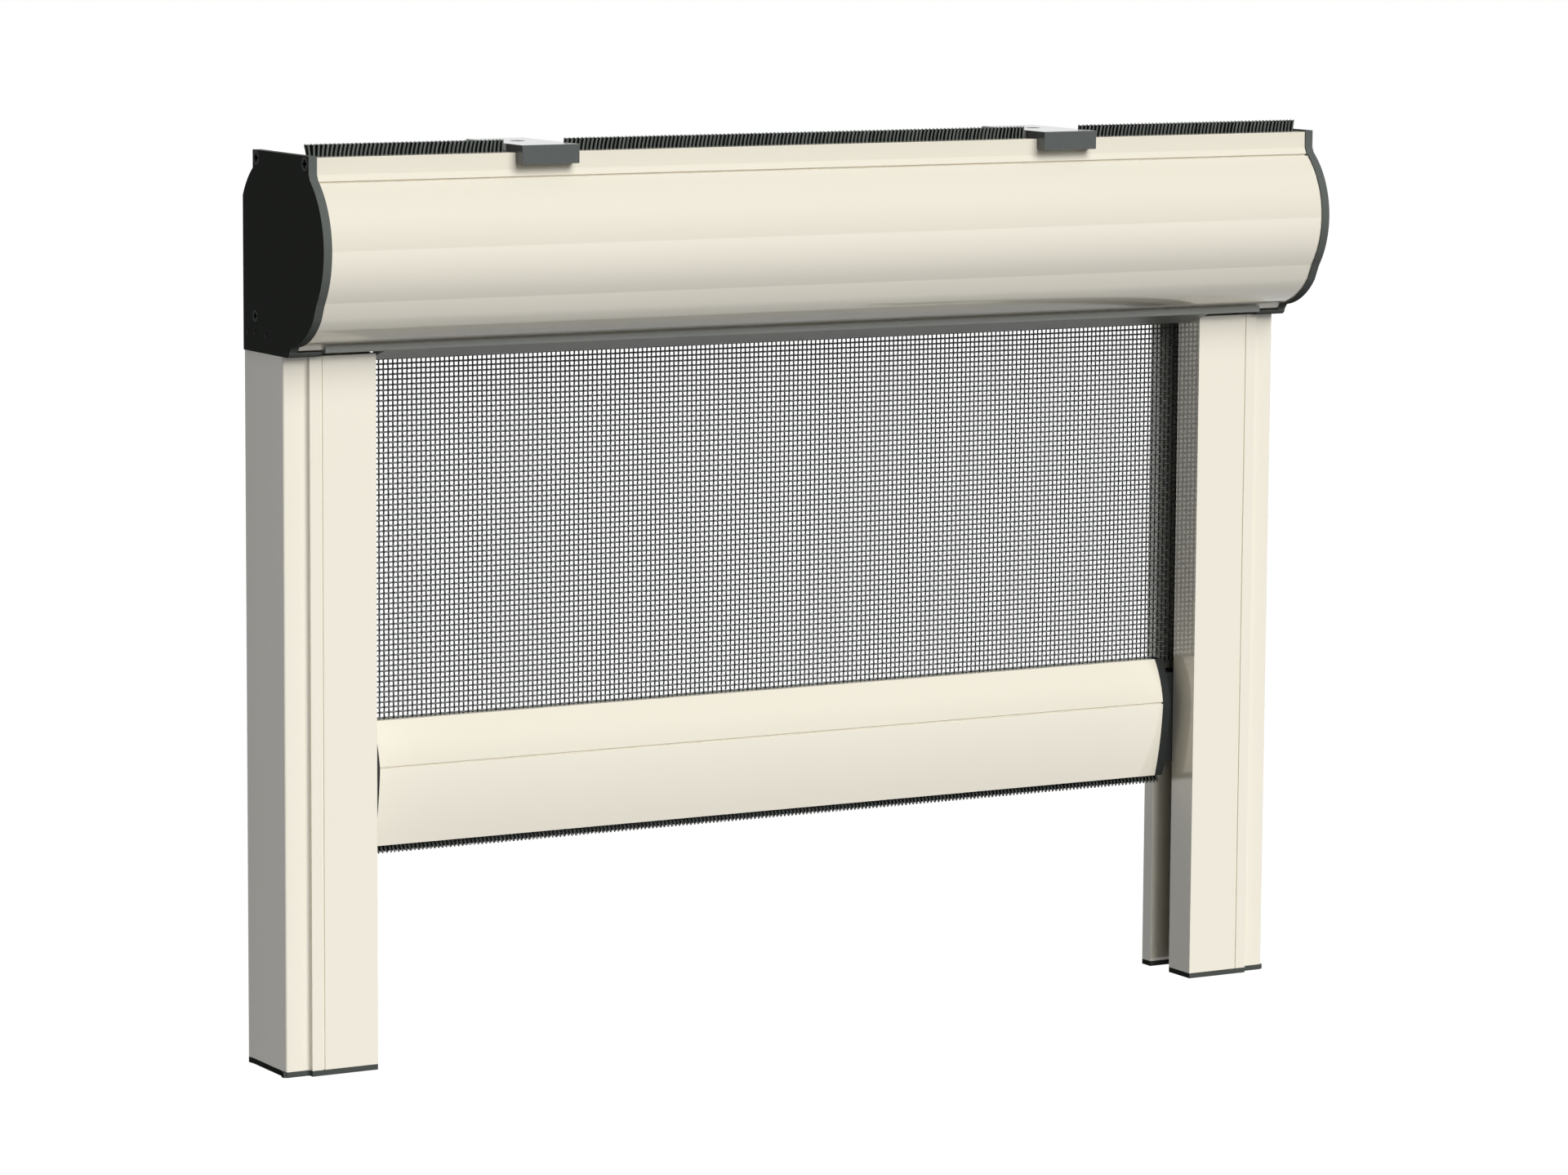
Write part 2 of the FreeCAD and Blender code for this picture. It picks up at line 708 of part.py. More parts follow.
def guide_brush(way):
    """A pile strip in the right guide: way is minus one in front of the net and one behind it."""
    face_y = slot_front_y if way < 0 else slot_back_y
    base_half = guide_brush_base_width / 2
    back = face_y + way * (guide_brush_lip + guide_brush_base_height)
    base_y = sorted((face_y + way * (guide_brush_lip + fit_gap / 2), back))
    z = (foot_plate, guide_height)
    base = slab((guide_brush_x - base_half, guide_brush_x + base_half), base_y, z)
    pile_half = guide_brush_pile_width / 2
    tip = net_y + way * (net_thickness / 2 + guide_brush_gap)
    pile = slab((guide_brush_x - pile_half, guide_brush_x + pile_half), sorted((tip, back)), z)
    return base.fuse(pile).removeSplitter()


def bar_outline():
    """The bar's section: a brow and a belly that meet at the scribed line, and a fuller rear."""
    brow_z = bar_top - bar_brow_height
    front_top = (net_y - bar_top_front, bar_top)
    front_mid = (net_y - bar_front_bulge, brow_z)
    front_low = (net_y - bar_front_bulge, brow_z - bar_scribe_height)
    front_end = (net_y - bar_bottom_front, bar_bottom)
    rear_end = (net_y + bar_bottom_rear, bar_bottom)
    rear_mid = (net_y + bar_rear_bulge, brow_z)
    rear_top = (net_y + bar_top_rear, bar_top)
    return loop_face(yz_point, [
        (front_top,),
        (arc_between(front_top, front_mid, -bar_brow_bulge), front_mid),
        (front_low,),
        (arc_between(front_low, front_end, -bar_belly_bulge), front_end),
        (rear_end,),
        (arc_between(rear_end, rear_mid, -bar_rear_belly_bulge), rear_mid),
        (arc_between(rear_mid, rear_top, -bar_rear_brow_bulge), rear_top),
    ])


def bar_room(gap, start, end):
    """The bar's hollow between its head block and its foot block, made smaller by a gap."""
    hollow = along_x(bar_outline().makeOffset2D(-bar_wall - gap), start, end)
    z = (bar_bottom + bar_foot_block + gap, bar_top - bar_head_block - gap)
    return hollow.common(slab((start, end), (front_y, back_y), z))


def bottom_bar():
    """The extruded bar: hollow body, keyway for the net's cord on top and a T slot below."""
    length = (-bar_half_length, bar_half_length)
    bar = along_x(bar_outline(), *length).cut(bar_room(0, *length))
    keyway = rod(length, net_y, bar_spline_z, bar_spline_radius + net_thickness)
    slit_z = (bar_spline_z, bar_top + overcut)
    slit = slab(length, (net_y - keyway_slit / 2, net_y + keyway_slit / 2), slit_z)
    half = brush_base_width / 2 + fit_gap
    mouth = bar_brush_pile_width / 2 + 2 * fit_gap
    low = bar_bottom + bar_brush_lip
    pocket = slab(length, (net_y - half, net_y + half), (low, low + brush_base_height + 2 * fit_gap))
    opening = slab(length, (net_y - mouth, net_y + mouth), (bar_bottom - overcut, low + fit_gap))
    brow_z = bar_top - bar_brow_height
    front = net_y - bar_front_bulge
    groove = slab(length, (front - overcut, front + bar_scribe_depth),
                  (brow_z - scribe_width / 2, brow_z + scribe_width / 2))
    return bar.cut([keyway, slit, pocket, opening, groove]).removeSplitter()


def bar_cap():
    """The right bar cap: flange on the bar's end, spigot in its hollow, tongue in the guide slot."""
    start = bar_half_length
    flange_end = start + bar_cap_thickness
    flange = along_x(bar_outline(), start, flange_end)
    spigot = bar_room(fit_gap, start - bar_cap_spigot, start)
    tip_x = flange_end + bar_tongue_reach
    half = bar_tongue_thickness / 2
    corner = bar_tongue_corner
    section = loop_face(xy_point, [
        ((flange_end, net_y - half),),
        ((tip_x - corner, net_y - half),),
        ((tip_x, net_y - half + corner),),
        ((tip_x, net_y + half - corner),),
        ((tip_x - corner, net_y + half),),
        ((flange_end, net_y + half),),
    ])
    middle = bar_bottom + bar_height / 2
    tongue = along_z(section, middle - bar_tongue_height / 2, middle + bar_tongue_height / 2)
    return flange.fuse([spigot, tongue]).removeSplitter()


def bar_brush():
    """The pile brush under the bar."""
    length = (-bar_half_length + fit_gap, bar_half_length - fit_gap)
    half = brush_base_width / 2
    low = bar_bottom + bar_brush_lip + fit_gap
    base = slab(length, (net_y - half, net_y + half), (low, low + brush_base_height))
    pile_half = bar_brush_pile_width / 2
    pile = slab(length, (net_y - pile_half, net_y + pile_half), (bar_bottom - bar_brush_stand, low))
    return base.fuse(pile).removeSplitter()


def bar_spline():
    """The cord that holds the net in the bar."""
    half = bar_half_length - bar_spline_end_gap
    return rod((-half, half), net_y, bar_spline_z, bar_spline_radius)


def net_sheet():
    """The net from the roll down to the bar, one holed face with a hem along each edge."""
    y = (net_y - net_thickness / 2, net_y + net_thickness / 2)
    wing_low = bar_top + net_wing_rise
    tail_half = bar_half_length - bar_spline_end_gap
    tail_low = bar_spline_z + bar_spline_radius + fit_gap / 2
    sheet = slab((-net_half_width, net_half_width), y, (wing_low, roller_z))
    tail = slab((-tail_half, tail_half), y, (tail_low, wing_low))
    field_low = wing_low + net_hem / 2
    step_x = 2 * guide_inner_x / net_columns
    step_z = (box_bottom - field_low) / net_rows
    through_y = (y[0] - overcut, y[1] + overcut)
    holes = []
    for column in range(net_columns):
        for row in range(net_rows):
            x = -guide_inner_x + column * step_x + net_strand / 2
            z = field_low + row * step_z + net_strand / 2
            holes.append(slab((x, x + step_x - net_strand), through_y, (z, z + step_z - net_strand)))
    return sheet.fuse(tail).removeSplitter().cut(holes)


def keyway_place():
    """Y and Z of the keyway's centre in the tube, on the side away from the net."""
    return (roller_y, roller_z + tube_radius - keyway_radius - keyway_wall / 2)


def tube_span():
    """Low and high X of the roller tube."""
    half = cap_inner_x - tube_end_gap
    return (-half, half)


def roller_tube():
    """The aluminium roller tube with the keyway that holds the net's cord."""
    span = tube_span()
    tube = rod(span, roller_y, roller_z, tube_radius)
    bore = rod(span, roller_y, roller_z, tube_radius - tube_wall)
    y, z = keyway_place()
    key_wall = rod(span, y, z, keyway_radius + keyway_wall).common(tube)
    slit = slab(span, (y - keyway_slit / 2, y + keyway_slit / 2), (z, roller_z + tube_radius + overcut))
    return tube.cut(bore).fuse(key_wall).cut([rod(span, y, z, keyway_radius), slit]).removeSplitter()


def tube_spline():
    """The cord that holds the net in the tube."""
    half = net_half_width
    y, z = keyway_place()
    return rod((-half, half), y, z, spline_radius)


def net_roll():
    """The net wound on the tube."""
    half = net_half_width
    outer = rod((-half, half), roller_y, roller_z, roll_radius)
    return outer.cut(rod((-half, half), roller_y, roller_z, tube_radius + roll_bore_gap))


def ribbed_core(start, end, bore):
    """A moulded core in the tube: a square hub round a bore, ribs to each side and one below."""
    x = (start, end)
    half_hub = plug_hub / 2
    half_rib = plug_rib / 2
    reach = math.sqrt((tube_radius - tube_wall - fit_gap) ** 2 - half_rib ** 2)
    hub_z = (roller_z - half_hub, roller_z + half_hub)
    core = slab(x, (roller_y - half_hub, roller_y + half_hub), hub_z)
    side_ribs = slab(x, (roller_y - reach, roller_y + reach), (roller_z - half_rib, roller_z + half_rib))
    low_rib = slab(x, (roller_y - half_rib, roller_y + half_rib), (roller_z - reach, roller_z))
    core = core.fuse([side_ribs, low_rib])
    return core.cut(rod((start - overcut, end + overcut), roller_y, roller_z, bore))


def roller_plug():
    """The right roller plug: a flange against the tube's end and a body inside it."""
    end = tube_span()[1]
    bore = shaft_radius + shaft_running_gap
    body = ribbed_core(end - plug_length, end, bore)
    flange_x = (end, end + plug_flange)
    flange = rod(flange_x, roller_y, roller_z, tube_radius + plug_flange_overhang)
    flange = flange.cut(rod(flange_x, roller_y, roller_z, bore))
    return body.fuse(flange).removeSplitter()


def pivot_pin():
    """The pin in the right cap's boss that the free end of the roller turns on."""
    return rod((cap_inner_x - pin_length, cap_inner_x - fit_gap), roller_y, roller_z, shaft_radius)


def shaft_span():
    """Low and high X of the fixed shaft's round part, from the left cap's boss inwards."""
    shoulder = -(cap_inner_x - cap_boss_length - shaft_shoulder_gap)
    return (shoulder, shoulder + shaft_length)


def spring_shaft():
    """The fixed shaft, round, with a square end in the left cap's boss."""
    span = shaft_span()
    round_part = rod(span, roller_y, roller_z, shaft_radius)
    half = shaft_square / 2
    square_x = (-cap_inner_x + shaft_end_gap, span[0])
    square = slab(square_x, (roller_y - half, roller_y + half), (roller_z - half, roller_z + half))
    return round_part.fuse(square)


def spring_anchor():
    """The hub on the shaft that the spring's fixed end is hooked in."""
    low = tube_span()[0] + plug_length + anchor_gap
    hub = hexagon_rod((low, low + anchor_length), roller_y, roller_z, anchor_radius)
    return hub.cut(rod((low, low + anchor_length), roller_y, roller_z, shaft_radius + screw_grip))


def carrier_span():
    """Low and high X of the spring's carrier, a little short of the shaft's end."""
    high = shaft_span()[1] - shaft_overhang
    return (high - anchor_length, high)


def spring_carrier():
    """The hub in the tube that the spring's moving end is hooked in."""
    return ribbed_core(*carrier_span(), shaft_radius + shaft_running_gap)


def spring_span():
    """X of the spring's line at its two ends, between the anchor and the carrier."""
    low = tube_span()[0] + plug_length + 2 * anchor_gap + anchor_length
    high = carrier_span()[0] - anchor_gap
    return (low + spring_wire / 2, high - spring_wire / 2)


def helix_point(turn):
    """Place and direction on the spring's line after a number of turns."""
    start, end = spring_span()
    pitch = (end - start) / spring_turns
    angle = 2 * math.pi * turn
    y = roller_y + spring_radius * math.cos(angle)
    z = roller_z + spring_radius * math.sin(angle)
    place = FreeCAD.Vector(start + pitch * turn, y, z)
    turn_length = 2 * math.pi * spring_radius
    way = FreeCAD.Vector(pitch, -turn_length * math.sin(angle), turn_length * math.cos(angle))
    return place, way.normalize()


def biarc(start, start_way, end, end_way):
    """Two arcs that join two places with given directions, with equal tangent lengths."""
    chord = end - start
    ways = start_way + end_way
    spread = 2 * (1 - start_way.dot(end_way))
    along = chord.dot(ways)
    reach = (math.sqrt(along ** 2 + spread * chord.dot(chord)) - along) / spread
    first_corner = start + start_way * reach
    last_corner = end - end_way * reach
    joint = (first_corner + last_corner) * 0.5
    arcs = []
    for here, corner, there in ((start, first_corner, joint), (joint, last_corner, end)):
        middle = (here + there) * 0.5
        flatness = (there - here).Length / (2 * reach)
        via = corner + (middle - corner) * (1 / (1 + flatness))
        arcs.append(Part.Arc(here, via, there).toShape())
    return arcs


def torsion_spring():
    """The torsion spring as one unbroken tube on biarcs of a quarter turn."""
    quarters = 4 * spring_turns
    edges = []
    for step in range(quarters):
        start, start_way = helix_point(step / 4)
        end, end_way = helix_point((step + 1) / 4)
        edges += biarc(start, start_way, end, end_way)
    path = Part.Wire(edges)
    start, start_way = helix_point(0)
    outward = FreeCAD.Vector(0, spring_wire / 2, 0)
    across = start_way.cross(outward)
    corners = [start + outward * a + across * b for a, b in ((1, 1), (1, -1), (-1, -1), (-1, 1))]
    ring = Part.makePolygon(corners + corners[:1])
    pipe = Part.BRepOffsetAPI.MakePipeShell(path)
    pipe.add(ring)
    pipe.build()
    pipe.makeSolid()
    return oriented(pipe.shape())


def spring_least_gap():
    """The least gap between neighbouring turns of the spring, measured on points along it."""
    steps = 24
    places = [helix_point(step / steps)[0] for step in range(steps * 4)]
    least = None
    for index, place in enumerate(places):
        for other in places[index + steps // 2:]:
            gap = (other - place).Length - spring_wire
            least = gap if least is None else min(least, gap)
    return least


def save(name, shape):
    """Writes one piece and prints its volume and its count of solids."""
    print(name, "solids", len(shape.Solids), "volume", round(shape.Volume, 1), "valid", shape.isValid())
    shape.exportStep("parts/" + name + ".step")


os.makedirs("parts", exist_ok=True)
save("head_box", head_box())
save("end_cap_left", left_cap())
save("end_cap_right", right_cap())
save("cap_screws", cap_screws())
save("lead_in_screws", lead_in_screws())
save("lip_trim", lip_trim())
for name, span in zip(("left", "middle", "right"), top_brush_spans()):
    save("top_brush_" + name, top_brush(*span))
for name, centre in zip(("left", "right"), clip_centres):
    save("lintel_clip_" + name, lintel_clip(centre))
sided = {
    "guide_rail": guide_rail(),
    "guide_foot": guide_foot(),
    "guide_brush_front": guide_brush(-1),
    "guide_brush_rear": guide_brush(1),
    "lead_in": lead_in(),
    "bar_cap": bar_cap(),
    "roller_plug": roller_plug(),
}
for name, shape in sided.items():
    save(name + "_right", shape)
    save(name + "_left", mirrored(shape))
save("bottom_bar", bottom_bar())
save("bar_brush", bar_brush())
save("bar_spline", bar_spline())
save("net_sheet", net_sheet())
save("roller_tube", roller_tube())
save("tube_spline", tube_spline())
save("net_roll", net_roll())
save("pivot_pin", pivot_pin())
save("spring_shaft", spring_shaft())
save("spring_anchor", spring_anchor())
save("spring_carrier", spring_carrier())
save("torsion_spring", torsion_spring())
print("spring: least gap between turns", round(spring_least_gap(), 2), "mm")
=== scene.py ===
"""A roller insect screen: finishes, small edges, brushes and woven net, and the studio."""

import json
import math

import bmesh
import bpy
import numpy as np
from mathutils import Matrix, Vector

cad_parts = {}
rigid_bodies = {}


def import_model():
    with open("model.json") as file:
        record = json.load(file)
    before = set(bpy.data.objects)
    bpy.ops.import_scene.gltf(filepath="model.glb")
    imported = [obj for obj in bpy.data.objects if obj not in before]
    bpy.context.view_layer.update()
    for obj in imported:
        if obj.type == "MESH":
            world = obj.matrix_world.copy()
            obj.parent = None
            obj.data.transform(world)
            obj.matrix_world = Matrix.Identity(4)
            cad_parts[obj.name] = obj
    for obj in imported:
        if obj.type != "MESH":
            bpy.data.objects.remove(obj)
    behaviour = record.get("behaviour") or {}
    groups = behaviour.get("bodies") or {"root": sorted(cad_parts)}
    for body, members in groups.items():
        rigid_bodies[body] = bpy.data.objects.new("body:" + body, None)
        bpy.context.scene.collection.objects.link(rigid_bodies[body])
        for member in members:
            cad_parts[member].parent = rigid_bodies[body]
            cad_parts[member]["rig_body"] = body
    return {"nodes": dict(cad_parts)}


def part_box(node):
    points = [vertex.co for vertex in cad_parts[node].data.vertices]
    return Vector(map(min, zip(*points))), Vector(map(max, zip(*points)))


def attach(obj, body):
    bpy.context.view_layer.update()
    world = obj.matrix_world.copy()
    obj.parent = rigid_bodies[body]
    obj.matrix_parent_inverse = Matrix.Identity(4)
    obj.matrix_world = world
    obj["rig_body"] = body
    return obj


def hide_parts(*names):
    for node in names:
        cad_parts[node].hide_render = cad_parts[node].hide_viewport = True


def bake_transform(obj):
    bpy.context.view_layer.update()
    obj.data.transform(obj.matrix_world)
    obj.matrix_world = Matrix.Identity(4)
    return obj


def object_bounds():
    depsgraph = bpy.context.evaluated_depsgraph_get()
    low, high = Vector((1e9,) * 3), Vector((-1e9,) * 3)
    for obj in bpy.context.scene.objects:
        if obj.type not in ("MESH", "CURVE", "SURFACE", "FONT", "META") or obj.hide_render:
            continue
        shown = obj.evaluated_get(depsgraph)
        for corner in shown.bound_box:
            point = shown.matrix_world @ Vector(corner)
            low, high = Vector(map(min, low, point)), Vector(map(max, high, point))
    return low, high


for leftover in list(bpy.data.objects):
    bpy.data.objects.remove(leftover)
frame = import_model()
bpy.context.view_layer.update()
cad_low, cad_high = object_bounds()

MM = 0.001

# Net, in metres. Its yarn is drawn wider than real yarn, to look as dense as the real net.
net_pitch = 1.406 * MM
yarn_width = 0.5 * MM
yarn_thickness = 0.24 * MM
yarn_sway = 0.1 * MM
yarn_sides = 4

# Brushes. Their bristles are drawn thicker and fewer than real ones, so that the ribs show.
tuft_pitch = 1.2 * MM
tuft_fibres = 24
fibre_radius = 0.08 * MM
fibre_rings = 5
fibre_sides = 3
fibre_taper = 0.3
backing_height = 0.8 * MM
flare_reach = 3 * MM

# Edges: how much of them is broken and in how many steps, the gap that is welded, and the angles
# up to which faces are joined and up to which they shade as one, and from which edges are broken
small_edge = 0.1 * MM
plastic_edge = 0.15 * MM
edge_steps = 2
weld_distance = 0.002 * MM
flat_angle = math.radians(0.5)
crease_angle = math.radians(30)
edge_angle = math.radians(35)

# The Mix node's sockets by number, since its kinds of value share their names
mix_factor, mix_float_a, mix_float_b, mix_colour_a, mix_colour_b = 0, 2, 3, 6, 7
mix_float_out, mix_colour_out = 0, 2

# The nodes that the drawn pieces fit
net_low, net_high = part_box("net_sheet")
roll_low, roll_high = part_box("net_roll")
tube_low, tube_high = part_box("roller_tube")
bar_low, bar_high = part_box("bottom_bar")
box_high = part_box("head_box")[1]
net_y = (net_low.y + net_high.y) / 2
slots = {name: node.data.materials[0].name for name, node in frame["nodes"].items()}
random = np.random.default_rng(18)


def linear(colour):
    """The linear colour, with alpha, of an sRGB hex value such as #EFE8D6."""
    levels = [int(colour[i:i + 2], 16) / 255 for i in (1, 3, 5)]
    return [c / 12.92 if c <= 0.04045 else ((c + 0.055) / 1.055) ** 2.4 for c in levels] + [1.0]


def per_metre(size):
    """The scale of a pattern whose features are this many millimetres wide."""
    return 1 / (size * MM)


# Materials

def add(tree, kind, inputs=None, **settings):
    """Adds a node; each input is a value or another node's output."""
    node = tree.nodes.new("ShaderNode" + kind)
    for name, value in settings.items():
        setattr(node, name, value)
    for socket, value in (inputs or {}).items():
        if isinstance(value, bpy.types.NodeSocket):
            tree.links.new(value, node.inputs[socket])
        else:
            node.inputs[socket].default_value = value
    return node


def finish(name, **sockets):
    """A new material and its Principled shader with these sockets set."""
    material = bpy.data.materials.new(name)
    material.use_nodes = True
    tree = material.node_tree
    shader = tree.nodes["Principled BSDF"]
    for socket, value in sockets.items():
        shader.inputs[socket.replace("_", " ")].default_value = value
    return material, tree, shader


def noise_bump(tree, shader, place, size, strength, depth, detail=2.0):
    """Fine grain: noise with features of that size in millimetres, as deep as depth millimetres."""
    grain = add(tree, "TexNoise", {"Vector": place, "Scale": per_metre(size), "Detail": detail})
    bump = add(tree, "Bump", {"Strength": strength, "Distance": depth * MM,
                              "Height": grain.outputs["Fac"]})
    tree.links.new(bump.outputs["Normal"], shader.inputs["Normal"])
    return grain


def tinted(tree, shader, factor, dark, light):
    """The base colour runs from dark to light with the factor."""
    ramp = add(tree, "Mix", {mix_factor: factor, mix_colour_a: linear(dark),
                             mix_colour_b: linear(light)}, data_type="RGBA")
    tree.links.new(ramp.outputs[mix_colour_out], shader.inputs["Base Color"])


def cream_powder_coat():
    """Polyester powder coat on extruded aluminium: glossy warm white, with a faint orange peel."""
    material, tree, shader = finish("cream_powder_coat", Roughness=0.35, Specular_IOR_Level=0.3,
                                    Coat_Weight=1.0, Coat_Roughness=0.03, Coat_IOR=1.75)
    place = add(tree, "TexCoord").outputs["Object"]
    noise_bump(tree, shader, place, size=1.4, strength=0.2, depth=0.003, detail=1.0)
    cloud = add(tree, "TexNoise", {"Vector": place, "Scale": per_metre(40), "Detail": 2.0})
    tinted(tree, shader, cloud.outputs["Fac"], "#F0EAD9", "#F2ECDC")
    return material


def dark_moulded_plastic(name, dark, light):
    """Glass filled nylon, moulded in a spark eroded tool: dark grey, a fine even grain, matt."""
    material, tree, shader = finish(name, Roughness=0.6, Specular_IOR_Level=0.0)
    place = add(tree, "TexCoord").outputs["Object"]
    grain = noise_bump(tree, shader, place, size=0.35, strength=0.35, depth=0.02)
    tinted(tree, shader, grain.outputs["Fac"], dark, light)
    return material


def smooth_moulded_plastic():
    """The same nylon from a polished tool, as on the lintel clips: dark grey with a plain shine."""
    material, tree, shader = finish("smooth_moulded_plastic", Roughness=0.2)
    place = add(tree, "TexCoord").outputs["Object"]
    grain = noise_bump(tree, shader, place, size=1.2, strength=0.1, depth=0.004)
    tinted(tree, shader, grain.outputs["Fac"], "#565A59", "#5C605F")
    return material


def grey_lip_strip():
    """Co-extruded soft vinyl: mid grey, smooth, with faint lines along its length."""
    material, tree, shader = finish("grey_lip_strip", Roughness=0.4)
    place = add(tree, "TexCoord").outputs["Object"]
    drawn = add(tree, "Mapping", {"Vector": place, "Scale": (0.02, 1.0, 1.0)})
    lines = noise_bump(tree, shader, drawn.outputs["Vector"], size=0.5, strength=0.2, depth=0.01)
    tinted(tree, shader, lines.outputs["Fac"], "#8A8C89", "#92948F")
    return material


def brush_fibre():
    """Polypropylene pile: grey bristles, some lighter and some darker.

    The near black between the ribs is painted shade, for the depth between the tufts.
    """
    material, tree, shader = finish("brush_fibre", Roughness=0.6, Specular_IOR_Level=0.2)
    shade = add(tree, "Attribute", attribute_name="shade")
    # The near black end is painted shade: the pile's core and backing get it, between the ribs
    tinted(tree, shader, shade.outputs["Fac"], "#0B0C0C", "#7C817C")
    return material


def coated_glass_yarn():
    """Glass yarn in a vinyl coat: near black, half glossy.

    The weft's lighter grey is painted light, for the light on the horizontal threads.
    """
    material, tree, shader = finish("coated_glass_yarn", Roughness=0.38, Specular_IOR_Level=0.4)
    shade = add(tree, "Attribute", attribute_name="shade")
    # Shade one, the weft's lighter grey, is painted light; the yarn itself is the near black end
    tinted(tree, shader, shade.outputs["Fac"], "#1B1D1D", "#767A7A")
    return material


def wound_net():
    """The same net wound on its tube: the weave of the outer turn over the dark of those below.

    That dark is the near black yarn below, made darker still as painted shade.
    """
    material, tree, shader = finish("wound_net", Roughness=0.5)
    place = add(tree, "TexCoord").outputs["UV"]
    # At scale one the wave texture's bands lie pi / 10 apart
    wave_scale = math.pi / 10 / net_pitch
    across, along = (add(tree, "TexWave", {"Vector": place, "Scale": wave_scale},
                         wave_type="BANDS", bands_direction=bands) for bands in ("X", "Y"))
    weave = add(tree, "Math", {0: across.outputs["Fac"], 1: along.outputs["Fac"]},
                operation="MAXIMUM")
    bump = add(tree, "Bump", {"Strength": 0.8, "Distance": 0.2 * MM,
                              "Height": weave.outputs["Value"]})
    tree.links.new(bump.outputs["Normal"], shader.inputs["Normal"])
    # Between the threads: the near black yarn of the turns below, darker still as painted shade
    tinted(tree, shader, weave.outputs["Value"], "#0E0F0F", "#454948")
    return material


def black_rubber_cord():
    """Extruded rubber cord: black, matt, with a fine grain where it was pressed in its groove."""
    material, tree, shader = finish("black_rubber_cord", Roughness=0.6)
    place = add(tree, "TexCoord").outputs["Object"]
    grain = noise_bump(tree, shader, place, size=0.6, strength=0.4, depth=0.03)
    tinted(tree, shader, grain.outputs["Fac"], "#161716", "#222423")
    return material


def black_zinc_screw():
    """Steel screws plated in black zinc: near black, with hardly a shine in their deep seats."""
    material, tree, shader = finish("black_zinc_screw", Roughness=0.5, Metallic=0.1,
                                    Specular_IOR_Level=0.05)
    place = add(tree, "TexCoord").outputs["Object"]
    grain = noise_bump(tree, shader, place, size=0.3, strength=0.3, depth=0.01)
    tinted(tree, shader, grain.outputs["Fac"], "#0E0F10", "#181A1B")
    return material


def zinc_plated_steel():
    """Drawn steel with a bright zinc plate: pale blue grey metal with fine draw lines."""
    material, tree, shader = finish("zinc_plated_steel", Roughness=0.28, Metallic=1.0)
    place = add(tree, "TexCoord").outputs["Object"]
    drawn = add(tree, "Mapping", {"Vector": place, "Scale": (0.1, 1.0, 1.0)})
    lines = noise_bump(tree, shader, drawn.outputs["Vector"], size=0.3, strength=0.2, depth=0.01)
    tinted(tree, shader, lines.outputs["Fac"], "#B4B8BC", "#C6CACD")
    return material


def natural_nylon():
    """Moulded nylon in its own colour: milky white, waxy, a little see-through at thin edges."""
    material, tree, shader = finish("natural_nylon", Roughness=0.42, Subsurface_Weight=0.2)
    shader.inputs["Subsurface Radius"].default_value = (1.0, 0.9, 0.7)
    shader.inputs["Subsurface Scale"].default_value = 0.5 * MM
    place = add(tree, "TexCoord").outputs["Object"]
    grain = noise_bump(tree, shader, place, size=0.8, strength=0.15, depth=0.01)
    tinted(tree, shader, grain.outputs["Fac"], "#E2DFD2", "#EAE7DC")
    return material


def mill_aluminium():
    """Extruded aluminium as it left the die: a soft metal shine with long die lines."""
    material, tree, shader = finish("mill_aluminium", Roughness=0.36, Metallic=1.0)
    place = add(tree, "TexCoord").outputs["Object"]
    drawn = add(tree, "Mapping", {"Vector": place, "Scale": (0.01, 1.0, 1.0)})
    lines = noise_bump(tree, shader, drawn.outputs["Vector"], size=0.25, strength=0.3, depth=0.008)
    tinted(tree, shader, lines.outputs["Fac"], "#C4C5C6", "#D6D7D8")
    return material


finishes = {
    "cream_coat": cream_powder_coat(),
    "dark_plastic": dark_moulded_plastic("dark_moulded_plastic", "#5B5F5C", "#646865"),
    "grey_trim": grey_lip_strip(),
    "brush_pile": brush_fibre(),
    "net_yarn": coated_glass_yarn(),
    "black_cord": black_rubber_cord(),
    "screw_steel": black_zinc_screw(),
    "bright_steel": zinc_plated_steel(),
    "white_nylon": natural_nylon(),
    "plain_aluminium": mill_aluminium(),
}
# The feet and the bar's caps are the end caps' nylon; their darker greys are painted shade
foot_finish_painted_shade = dark_moulded_plastic("foot_plastic_painted_shade", "#4A4E4B", "#535753")
bar_cap_finish_painted_shade = dark_moulded_plastic("bar_cap_plastic_painted_shade", "#343635", "#3A3C3B")
clip_finish = smooth_moulded_plastic()
roll_finish = wound_net()


# Meshes

def new_piece(name, mesh, body, slot, replaced, material=None):
    """A mesh object that rides on its body, has its slot's finish and stands for these nodes."""
    piece = bpy.data.objects.new(name, mesh)
    bpy.context.scene.collection.objects.link(piece)
    mesh.materials.clear()
    mesh.materials.append(material or finishes[slot])
    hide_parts(*replaced)
    if body:
        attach(piece, body)
    return piece


def mesh_of(name, points, faces, smooth=True, shade=None):
    """A mesh of an array of points, a list of face arrays and, where given, each point's shade."""
    mesh = bpy.data.meshes.new(name)
    corners = np.concatenate([group.ravel() for group in faces]).astype(np.int32)
    sizes = np.concatenate([np.full(len(group), group.shape[1]) for group in faces])
    starts = np.concatenate([[0], np.cumsum(sizes)[:-1]]).astype(np.int32)
    mesh.vertices.add(len(points))
    mesh.loops.add(len(corners))
    mesh.polygons.add(len(sizes))
    mesh.vertices.foreach_set("co", np.asarray(points, np.float32).ravel())
    mesh.loops.foreach_set("vertex_index", corners)
    mesh.polygons.foreach_set("loop_start", starts)
    mesh.update(calc_edges=True)
    mesh.validate()
    mesh.polygons.foreach_set("use_smooth", np.full(len(mesh.polygons), smooth))
    if shade is not None:
        values = mesh.attributes.new("shade", "FLOAT", "POINT").data
        values.foreach_set("value", shade.astype(np.float32))
    return mesh


